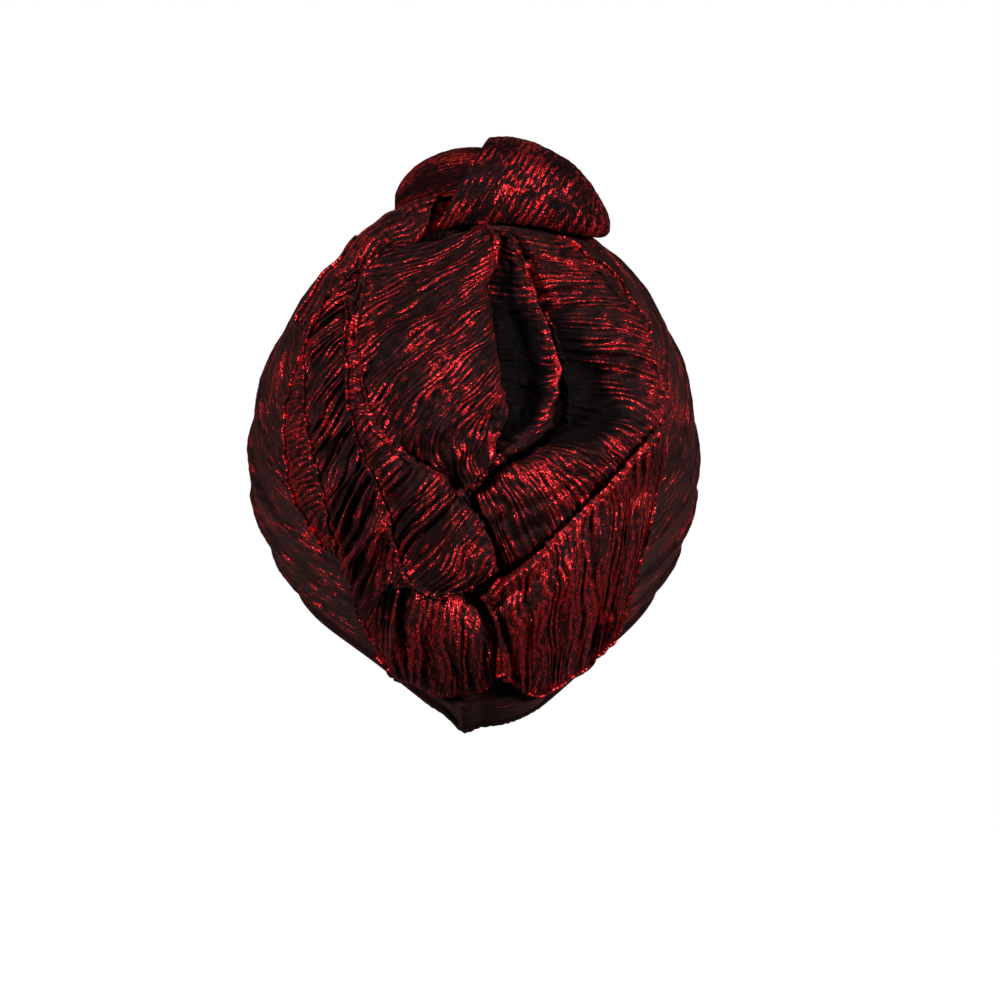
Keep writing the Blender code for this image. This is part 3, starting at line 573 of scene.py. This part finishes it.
# Dents of a panel: place along and across it, reach along and across, in shares, and depth in mm, below 0 for a lip
DENTS = {
    "swag_right_upper": ((0.46, 0.18, 0.16, 0.17, 10.0),),
    "cowl_lobe": ((0.22, 0.32, 0.20, 0.18, 5.0), (0.66, 0.62, 0.10, 0.16, 3.0)),
    "swag_left_upper": ((0.74, 0.42, 0.08, 0.30, 3.0),),
    "swag_right_lower": ((0.30, 0.55, 0.07, 0.45, 2.5), (0.66, 0.60, 0.06, 0.45, 2.5),
                         (0.82, 0.07, 0.25, 0.06, -2.6), (0.84, 0.21, 0.20, 0.06, 2.6)),
}
# Painted shade in deep folds: spots with hardly any metal thread and the ground turned to the groove colour, so the
# cloth is painted dark there: place and reach as above, then how dark
PAINTED_SHADE_SPOTS = {
    "cowl_fold": ((0.55, 0.36, 0.30, 0.32, 3.5),),
    "swag_right_upper": ((0.55, 0.10, 0.10, 0.21, 2.7), (0.38, 0.06, 0.12, 0.12, 1.5)),
    "swag_left_lower": ((0.0, 0.0, 0.2, 0.3, 1.2),),
}
# Every edge folds under in two steps: how far down at most, in mm, how far in, and how much of the knit it takes
TUCK_STEPS = (0.35, 1.0)
TUCK_DOWN = 12.0
TUCK_IN = 0.0016
TUCK_LEAST_WIDTH = 4.0 * TUCK_IN
TUCK_SHARE = 0.05
TUCK_LENGTH = 0.005
# How wide the turn before an edge is, and the least and the greatest share of a panel's width that it takes
TURN_WIDTH = 0.0055
TURN_SHARES = (0.06, 0.50)
RIB_DEPTH = 0.0010
RIB_SWAY = 0.0010
RIB_SWAY_SIZE = 0.032
# A panel sways a little along its length, and its lines crowd towards its edges, where the relief fades and more
# metal thread shows
EDGE_WANDER = 0.0008
EDGE_WANDER_SIZE = 0.016
EDGE_CROWDING = 0.6
EDGE_FADE = 0.006
EDGE_RELIEF = 0.25
EDGE_THREAD = 0.4
# Long pleats inside a panel: how far they bend, over what size, how soon they reach full depth, and how sharp
PLEAT_BEND = 0.06
PLEAT_BEND_SIZE = 0.05
PLEAT_EASE = 4.0
PLEAT_SHARPNESS = 1.5


def quarter_round(value):
    """0 at a folded edge, 1 once the cloth has turned flat."""
    held = np.clip(value, 0.0, 1.0)
    return np.sqrt(1.0 - (1.0 - held) ** 2)


def back_of_crown(x, z):
    """Point and outward direction on the back of the crown behind a place in the rear view."""
    pull = 1.0 + nape_pull(x)
    flat_z = np.where(z < 0.0, z / pull, z)
    across, deep, high = half_sizes(x, np.full_like(x, -1.0), flat_z)
    out = (x / across) ** 2 + (flat_z / high) ** 2
    y = -CROWN_BACK * np.sqrt(np.clip(1.0 - out, OUTLINE_SHARE, 1.0))
    normal = np.stack([x / across ** 2, y / deep ** 2, flat_z / high ** 2], axis=-1)
    normal /= np.linalg.norm(normal, axis=-1, keepdims=True)
    return np.stack([x, y, z], axis=-1), normal


def map_place(x, z):
    """Column and row of the height map at a place in the rear view."""
    return (x + MAP_HALF) / MAP_CELL, (z + MAP_HALF) / MAP_CELL


def record_layer(heights, x, z, lift):
    """Raise the height map to the cloth that now lies there."""
    column, row = map_place(x, z)
    column = np.clip(np.rint(column).astype(int), 0, heights.shape[0] - 1)
    row = np.clip(np.rint(row).astype(int), 0, heights.shape[1] - 1)
    np.maximum.at(heights, (column.ravel(), row.ravel()), lift.ravel())


def spread_map(heights, wide, soft):
    """Highest value nearby, then softened, so that the next layer climbs before it meets an edge."""
    high = heights.copy()
    width, length = high.shape
    for turn in range(wide + soft):
        padded = np.pad(high, 1, mode="edge")
        near = [padded[a:a + width, b:b + length] for a in range(3) for b in range(3)]
        high = np.max(near, axis=0) if turn < wide else np.mean(near, axis=0)
    return high


def read_map(heights, x, z):
    """Height of what already lies at a place, blended between cells."""
    column, row = map_place(x, z)
    column = np.clip(column, 0, heights.shape[0] - 1.001)
    row = np.clip(row, 0, heights.shape[1] - 1.001)
    left, low = column.astype(int), row.astype(int)
    side, up = column - left, row - low
    return (heights[left, low] * (1 - side) * (1 - up) + heights[left + 1, low] * side * (1 - up)
            + heights[left, low + 1] * (1 - side) * up + heights[left + 1, low + 1] * side * up)


def row_values(table, along):
    """Smooth values of every column of a table at shares along it."""
    rows = np.array(table, float)
    place = np.clip(along, 0.0, 1.0) * (len(rows) - 1)
    index = np.minimum(place.astype(int), len(rows) - 2)
    part = (place - index)[:, None]
    before = rows[np.maximum(index - 1, 0)]
    first = rows[index]
    second = rows[index + 1]
    after = rows[np.minimum(index + 2, len(rows) - 1)]
    return 0.5 * (2.0 * first + (second - before) * part
                  + (2.0 * before - 5.0 * first + 4.0 * second - after) * part ** 2
                  + (3.0 * first - before - 3.0 * second + after) * part ** 3)


def tucked(places, folded):
    """Places along or across a panel, with its two edges repeated where they fold under, and how far under."""
    if not folded:
        return places, np.zeros_like(places)
    fold = np.array(TUCK_STEPS)
    return (np.concatenate([0.0 * fold, places, 0.0 * fold + 1.0]),
            np.concatenate([fold[::-1], 0.0 * places, fold]))


def spots(along, across, places):
    """Sum of soft round spots at places of a panel."""
    total = np.zeros((len(along), len(across)))
    for at_along, at_across, reach_along, reach_across, strength in places:
        away = ((along[:, None] - at_along) / reach_along) ** 2 + ((across - at_across) / reach_across) ** 2
        total += strength * np.exp(-away)
    return total


def panel_points(panel, dents, shade_spots, heights, rows, columns, ribbed):
    """Outer face of a panel laid on the map, its place in the rear view, lift, places on the knit and crests."""
    along = np.linspace(0.0, 1.0, rows + 1)
    across = 0.5 - 0.5 * np.cos(np.linspace(0.0, math.pi, columns + 1))
    across = EDGE_CROWDING * across + (1.0 - EDGE_CROWDING) * np.linspace(0.0, 1.0, columns + 1)
    along, along_under = tucked(along, ribbed)
    across, across_under = tucked(across, ribbed)
    values = row_values(panel["table"], along)
    edges = values[:, [0, 4]] * np.where(values[:, [0, 4]] < 0.0, CROWN_LEFT, CROWN_RIGHT)
    width = np.hypot(edges[:, 1] - edges[:, 0], (values[:, 5] - values[:, 1]) * CROWN_RISE)[:, None]
    inset = TUCK_IN * across_under * np.sign(0.5 - across) / np.maximum(width, TUCK_LEAST_WIDTH)
    plan = across + inset
    first = 2.0 * (plan - 0.5) * (plan - 1.0)
    middle = 4.0 * plan * (1.0 - plan)
    second = 2.0 * plan * (plan - 0.5)
    share_x, share_z, lift = (
        values[:, start, None] * first + values[:, start + step, None] * middle
        + values[:, start + 2 * step, None] * second for start, step in ((0, 2), (1, 2), (6, 1)))
    x = share_x * np.where(share_x < 0.0, CROWN_LEFT, CROWN_RIGHT)
    z = share_z * CROWN_RISE
    centre = columns // 2
    steps = np.hypot(np.diff(x[:, centre]), np.diff(z[:, centre]))
    down = np.concatenate([[0.0], np.cumsum(steps)])[:, None] * np.ones_like(across)
    over = width * (across - TUCK_SHARE * across_under * np.sign(0.5 - across))
    down = down - TUCK_LENGTH * along_under[:, None] * np.sign(0.5 - along)[:, None]
    turn_across = np.clip(TURN_WIDTH / width, *TURN_SHARES)
    turn_along = TURN_WIDTH / down.max()
    turns = panel["turns"]
    x = x + EDGE_WANDER * wander(down, x * 0.2, panel["seed"] + 8, EDGE_WANDER_SIZE)
    z = z + EDGE_WANDER * wander(down, z * 0.2, panel["seed"] + 9, EDGE_WANDER_SIZE)
    lift -= turns[0] * (1.0 - quarter_round(across / turn_across))
    lift -= turns[1] * (1.0 - quarter_round((1.0 - across) / turn_across))
    lift -= turns[2] * (1.0 - quarter_round(along / turn_along))[:, None]
    lift -= turns[3] * (1.0 - quarter_round((1.0 - along) / turn_along))[:, None]
    lift -= TUCK_DOWN * np.maximum(across_under, along_under[:, None])
    waves = panel["gathers"][0]
    wave = np.cos(2.0 * math.pi * waves * along)[:, None] * np.sin(math.pi * across) ** 0.5
    lift -= spots(along, across, dents)
    pleats, pleats_from, pleat_depth = panel["pleats"]
    place = np.clip((across - pleats_from) / (1.0 - pleats_from), 0.0, 1.0)
    bend = PLEAT_BEND * wander(down, 0.0 * down, panel["seed"] + 12, PLEAT_BEND_SIZE)
    ease = np.clip(place * PLEAT_EASE, 0.0, 1.0)
    groove = (1.0 - np.abs(np.sin(math.pi * (pleats * place + bend)))) ** PLEAT_SHARPNESS
    lift -= pleat_depth * ease * groove
    own = (lift + panel["gathers"][1] * wave * (waves > 0)) * MILLIMETRE
    if panel["ribs_along"]:
        down, over = over, down
    lean = panel["lean"][0] + (panel["lean"][1] - panel["lean"][0]) * along[:, None]
    slant = down + lean * over + RIB_SWAY * wander(over, down, panel["seed"] + 14, RIB_SWAY_SIZE)
    relief = crest = np.zeros_like(own)
    if ribbed:
        seed = panel["seed"]
        inside = smooth_step(np.minimum(across, 1.0 - across) * width / EDGE_FADE)
        edge = EDGE_RELIEF + (1.0 - EDGE_RELIEF) * inside
        ribs = rib_relief(over, slant, seed, panel["spacing"], panel["rib_depth"])
        fine_gathers = gather_relief(over, slant, seed, panel["gathers"][2], panel["gathers"][3] * MILLIMETRE)
        # The crest is the rib height plus the panel's thread and more at its edges, less in the spots of painted
        # shade; from it the material places the metal thread and paints the groove shade and ridge light
        crest = ribs / panel["rib_depth"] + panel["thread"] + EDGE_THREAD * (1.0 - edge) - spots(along, across, shade_spots)
        relief = edge * (ribs + fine_gathers)
    base, normal = back_of_crown(x, z)
    nearer = 1.0 + (base[..., 1] + normal[..., 1] * own) / VIEW_DISTANCE
    x, z = x * nearer, z * nearer
    below = read_map(heights, x, z) + CLOTH + GAP
    height = 0.5 * (own + below + np.sqrt((own - below) ** 2 + LAYER_SOFTNESS ** 2)) + relief
    place_x, place_z = x.copy(), z.copy()
    for _ in range(SETTLE_STEPS):
        base, normal = back_of_crown(place_x, place_z)
        place_x = x - normal[..., 0] * height
        place_z = z - normal[..., 2] * height
    base, normal = back_of_crown(place_x, place_z)
    return base + normal * height[..., None], x, z, height, over, slant, crest


drape_cloth = metallic_knit("drape_knit", ground=(0.014, 0.0040, 0.0042, 1.0), haze=(0.080, 0.005, 0.006, 1.0),
                            foil=(0.95, 0.028, 0.032, 1.0), foil_share=0.15, sheen=0.004)
# Gathers: number of the broad ones, their relief, then spacing in metres and relief of the narrow ones. Turns: how
# far the first edge, the second edge, the start and the end turn down. Lean: how far the ribs slant at the start and
# at the end. Thread: more metal thread above 0 and less below. Pleats: how many long ones, from which share across,
# and how deep. Reliefs, turns and pleats' depths are in mm.
PANELS = {
    "strand_left": dict(
        table=STRAND_LEFT, gathers=(0, 0.0, 0.012, 0.5), turns=(3, 3, 0, 0), spacing=0.0034, lean=(0.0, 0.0),
        ribs_along=True, seed=31, rows=170, columns=60, flat=(0.038, 0.14), rests_on=["crown_left_knit"]),
    "pleat_left_outer": dict(
        table=PLEAT_LEFT_OUTER, gathers=(0, 0.0, 0.013, 0.5), turns=(3, 2, 2, 2), spacing=0.0034, lean=(0.5, 0.5),
        ribs_along=False, seed=41, rows=200, columns=24, flat=(0.029, 0.142), rests_on=["crown_left_knit"]),
    "pleat_left_inner": dict(
        table=PLEAT_LEFT_INNER, gathers=(8, 2.0, 0.0085, 1.4), turns=(4, 2, 3, 2), spacing=0.0036, lean=(0.40, 0.80),
        rib_depth=0.0010, thread=-0.15, ribs_along=False, seed=53, rows=340, columns=40, flat=(0.050, 0.25),
        rests_on=["crown_left_knit", "pleat_left_outer_knit"]),
    "swag_right_upper": dict(
        table=SWAG_RIGHT_UPPER, gathers=(6, 1.1, 0.0095, 0.9), turns=(1, 2, 4, 5), spacing=0.0030, lean=(0.0, 0.0),
        pleats=(3, 0.56, 2.2), ribs_along=False, seed=67, rows=340, columns=64, flat=(0.082, 0.225),
        rests_on=["crown_right_knit"]),
    "cowl_fold": dict(
        table=COWL_FOLD, gathers=(0, 0.0, 0.010, 0.7), turns=(1, 3, 3, 1), spacing=0.0032, lean=(0.0, 0.0),
        ribs_along=False, seed=71, rows=230, columns=40, flat=(0.042, 0.125),
        rests_on=["crown_right_knit", "swag_right_upper_knit"]),
    "cowl_lobe": dict(
        table=COWL_LOBE, gathers=(6, 1.0, 0.011, 0.6), turns=(3, 6, 5, 1), spacing=0.0031, lean=(0.25, 0.95),
        thread=-0.18, ribs_along=False, seed=83, rows=320, columns=60, flat=(0.080, 0.150),
        rests_on=["crown_left_knit", "cowl_fold_knit"]),
    "swag_left_lower": dict(
        table=SWAG_LEFT_LOWER, gathers=(6, 1.3, 0.0085, 1.1), turns=(5, 3, 4, 6), spacing=0.0040, lean=(0.0, 0.0),
        rib_depth=0.0012, thread=0.20, ribs_along=False, seed=97, rows=220, columns=44, flat=(0.058, 0.11),
        rests_on=["pleat_left_inner_knit"]),
    "swag_left_upper": dict(
        table=SWAG_LEFT_UPPER, gathers=(5, 0.7, 0.0090, 1.3), turns=(5, 5, 3, 7), spacing=0.0036, lean=(0.2, 0.2),
        rib_depth=0.0010, thread=-0.20, ribs_along=False, seed=103, rows=330, columns=44, flat=(0.036, 0.170),
        rests_on=["pleat_left_inner_knit", "cowl_lobe_knit"]),
    "swag_right_lower": dict(
        table=SWAG_RIGHT_LOWER, gathers=(6, 1.4, 0.0090, 1.1), turns=(7, 2, 3, 3), spacing=0.0042, lean=(0.0, 0.0),
        rib_depth=0.0013, thread=0.22, ribs_along=False, seed=113, rows=300, columns=60, flat=(0.105, 0.150),
        rests_on=["crown_right_knit", "swag_right_upper_knit"]),
}
PANEL_DEFAULTS = {"pleats": (0, 0.0, 0.0), "rib_depth": RIB_DEPTH, "thread": 0.0}
cells = int(2 * MAP_HALF / MAP_CELL) + 1
heights = np.zeros((cells, cells))
for _, half_side, half_lap, half_seed in CROWN_HALVES:
    outer, lifts, *_ = crown_grid(half_side, *CROWN_MAP_GRID, half_lap, half_seed)
    back = outer[..., 1] < 0.0
    record_layer(heights, outer[..., 0][back], outer[..., 2][back], lifts[back])
for panel_name, panel in PANELS.items():
    panel = {**PANEL_DEFAULTS, **panel}
    laid = spread_map(heights, MAP_SPREAD_STEPS, MAP_SOFT_STEPS)
    dents = DENTS.get(panel_name, ())
    # Spots of painted shade for this panel
    shade_spots = PAINTED_SHADE_SPOTS.get(panel_name, ())
    grid = panel["rows"], panel["columns"]
    outer, _, _, _, rib_down, rib_over, crest = panel_points(panel, dents, shade_spots, laid, *grid, True)
    piece = cloth_piece(panel_name + "_knit", outer, rib_down, rib_over, crest, drape_cloth)
    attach(piece, "root")
    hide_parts(panel_name)
    _, place_x, place_z, lift, _, _, _ = panel_points(panel, dents, shade_spots, laid, *PANEL_MAP_GRID, False)
    record_layer(heights, place_x, place_z, lift)

# Knot: the end of the same cloth, rolled up on the top of the head, with a wide band of it folded over the roll.
# Both are closed loops of the knit that rest on the crown.

# Columns of a table, one row for each loop: middle across, middle up, half height, half depth and middle depth in
# shares of the crown's rise, then how far the loop leans, how much longer its lower half hangs, and its clearance
# over the crown in cloths.
KNOT_BAND = (
    (-0.10, 1.03, 0.200, 0.315, -0.20, 0.54, 1.5, 1.0),
    (0.00, 1.04, 0.190, 0.320, -0.20, 0.54, 1.5, 1.7),
    (0.12, 1.02, 0.175, 0.305, -0.20, 0.52, 1.5, 1.7),
    (0.24, 0.985, 0.152, 0.275, -0.20, 0.46, 1.5, 1.7),
    (0.34, 0.945, 0.120, 0.225, -0.20, 0.35, 1.4, 1.7),
    (0.41, 0.915, 0.080, 0.150, -0.20, 0.20, 1.2, 1.7),
    (0.444, 0.900, 0.052, 0.095, -0.20, 0.10, 1.0, 1.7),
    (0.460, 0.893, 0.020, 0.040, -0.20, 0.04, 1.0, 1.7),
)
KNOT_ROLL = (
    (-0.355, 0.985, 0.045, 0.070, 0.02, 0.0, 1.0, 0.9),
    (-0.33, 1.000, 0.080, 0.110, 0.01, 0.0, 1.0, 1.2),
    (-0.27, 1.030, 0.110, 0.150, -0.02, 0.0, 1.0, 2.2),
    (-0.18, 1.060, 0.120, 0.175, -0.09, 0.0, 1.0, 2.8),
    (-0.09, 1.080, 0.115, 0.180, -0.14, 0.0, 1.0, 2.8),
    (0.01, 1.085, 0.105, 0.170, -0.16, 0.0, 1.0, 2.8),
    (0.08, 1.065, 0.090, 0.140, -0.17, 0.0, 1.0, 2.8),
)
FLOOR_SOFTNESS = 0.004
LOOP_RADIUS = 0.030
LOOP_CLOSING = 0.5
LOOP_GATHER_SPACING = 0.011
SIDEWAYS_SHARE = 0.25


def loop_points(table, rows, columns, seed, ribs_round, spacing, depths):
    """Loops of a knot piece, resting on the crown where they would sink into it."""
    values = row_values(table, np.linspace(0.0, 1.0, rows + 1))
    across, up, half_height, half_depth, depth_middle = (values[:, :5, None] * CROWN_RISE).transpose(1, 0, 2)
    lean, hang, cloths = values[:, 5:, None].transpose(1, 0, 2)
    turn = np.linspace(0.0, 2.0 * math.pi, columns, endpoint=False)
    rise = np.sin(turn) * half_height
    rise = np.where(rise < 0.0, rise * hang, rise)
    x = across + lean * rise
    y = depth_middle - half_depth * np.cos(turn)
    z = up + rise
    wide, deep, high = half_sizes(x, y, np.ones_like(x))
    top = high * np.sqrt(np.clip(1.0 - (x / wide) ** 2 - (y / deep) ** 2, 0.0, 1.0))
    floor = top + cloths * (CLOTH + GAP)
    z = 0.5 * (z + floor + np.sqrt((z - floor) ** 2 + FLOOR_SOFTNESS ** 2))
    girth = turn * LOOP_RADIUS
    length = np.concatenate([[0.0], np.cumsum(np.abs(np.diff(across[:, 0])))])[:, None]
    down, over = length + 0.0 * turn, girth + 0.0 * length
    if ribs_round:
        down, over = over, down
    from_seam = np.minimum(turn, 2.0 * math.pi - turn)
    closing = 1.0 if ribs_round else np.clip(from_seam / LOOP_CLOSING, 0.0, 1.0)
    ribs = closing * rib_relief(down, over, seed, spacing, depths[0])
    relief = ribs + closing * gather_relief(down, over, seed, LOOP_GATHER_SPACING, depths[1])
    out = np.stack([SIDEWAYS_SHARE * (x - across), y - depth_middle, z - up], axis=-1)
    out /= np.maximum(np.linalg.norm(out, axis=-1, keepdims=True), 1e-6)
    return np.stack([x, y, z], axis=-1) + out * relief[..., None], down, over, ribs / depths[0]


knot_cloth = metallic_knit("knot_knit", ground=(0.005, 0.0013, 0.0015, 1.0), haze=(0.080, 0.005, 0.006, 1.0),
                           foil=(0.95, 0.028, 0.032, 1.0), foil_share=0.15, sheen=0.004)
outer, rib_down, rib_over, crest = loop_points(
    KNOT_ROLL, rows=90, columns=190, seed=131, ribs_round=False, spacing=0.0034, depths=(0.0004, 0.0004))
roll = cloth_piece("knot_roll_knit", outer, rib_down, rib_over, crest, knot_cloth, True)
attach(roll, "root")
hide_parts("knot_roll")
outer, rib_down, rib_over, crest = loop_points(
    KNOT_BAND, rows=150, columns=160, seed=149, ribs_round=True, spacing=0.0036, depths=(0.0003, 0.0003))
band = cloth_piece("knot_band_knit", outer, rib_down, rib_over, crest, knot_cloth, True)
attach(band, "root")
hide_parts("knot_band")

# Floor, light and camera: a plain pale floor well below the head tie, large soft lamps at its left, its right and
# above it, and a level view of its back.

FLOOR_DROP = 0.36
FLOOR_SIZE = 12.0
VIEW_CENTRE = (0.006, 0.0185)
VIEW_WIDTH = 0.50
SENSOR = 36.0
STUDIO_TONE = (1.0, 1.0, 1.0, 1.0)
STUDIO_LIGHT = 1.0
STUDIO_FILL = 0.06

floor_mesh = bpy.data.meshes.new("floor")
half_floor = FLOOR_SIZE / 2.0
floor_mesh.from_pydata([(-half_floor, -half_floor, -FLOOR_DROP), (half_floor, -half_floor, -FLOOR_DROP),
                        (half_floor, half_floor, -FLOOR_DROP), (-half_floor, half_floor, -FLOOR_DROP)],
                       [], [(0, 1, 2, 3)])
floor = bpy.data.objects.new("floor", floor_mesh)
bpy.context.scene.collection.objects.link(floor)
paper = bpy.data.materials.new("paper")
paper.use_nodes = True
paper_shader = paper.node_tree.nodes["Principled BSDF"]
paper_shader.inputs["Base Color"].default_value = (0.05, 0.05, 0.05, 1.0)
paper_shader.inputs["Specular IOR Level"].default_value = 0.0
paper_shader.inputs["Emission Color"].default_value = STUDIO_TONE
paper_shader.inputs["Emission Strength"].default_value = STUDIO_LIGHT
floor_mesh.materials.append(paper)
floor.visible_diffuse = False
floor.visible_glossy = False


def lamp(name, place, size, power):
    """A square soft lamp that points at the middle of the head tie."""
    light = bpy.data.lights.new(name, "AREA")
    light.shape = "SQUARE"
    light.size = size
    light.energy = power
    made = bpy.data.objects.new(name, light)
    bpy.context.scene.collection.objects.link(made)
    made.location = place
    target = Vector((0.0, 0.0, CROWN_CENTRE_UP))
    made.rotation_euler = (made.location - target).to_track_quat("Z", "Y").to_euler()
    return made


lamp("left", (-1.8, -1.5, 0.7), 0.45, 96.0)
lamp("right", (1.8, -1.3, 0.4), 0.45, 94.0)
lamp("top", (0.3, -1.1, 1.9), 0.4, 26.0)
world = bpy.data.worlds.new("studio")
bpy.context.scene.world = world
world.use_nodes = True
studio = world.node_tree
studio.nodes["Background"].inputs["Color"].default_value = STUDIO_TONE
seen = studio.nodes.new("ShaderNodeLightPath")
strength = studio.nodes.new("ShaderNodeMapRange")
strength.inputs["To Min"].default_value = STUDIO_FILL
strength.inputs["To Max"].default_value = STUDIO_LIGHT
studio.links.new(seen.outputs["Is Camera Ray"], strength.inputs["Value"])
studio.links.new(strength.outputs["Result"], studio.nodes["Background"].inputs["Strength"])
bpy.context.scene.view_settings.view_transform = "Standard"

camera_data = bpy.data.cameras.new("camera")
camera_data.sensor_width = SENSOR
camera_data.lens = SENSOR * VIEW_DISTANCE / VIEW_WIDTH
camera = bpy.data.objects.new("camera", camera_data)
bpy.context.scene.collection.objects.link(camera)
camera.location = (VIEW_CENTRE[0], -VIEW_DISTANCE, VIEW_CENTRE[1])
camera.rotation_euler = (math.radians(90.0), 0.0, 0.0)
bpy.context.scene.camera = camera
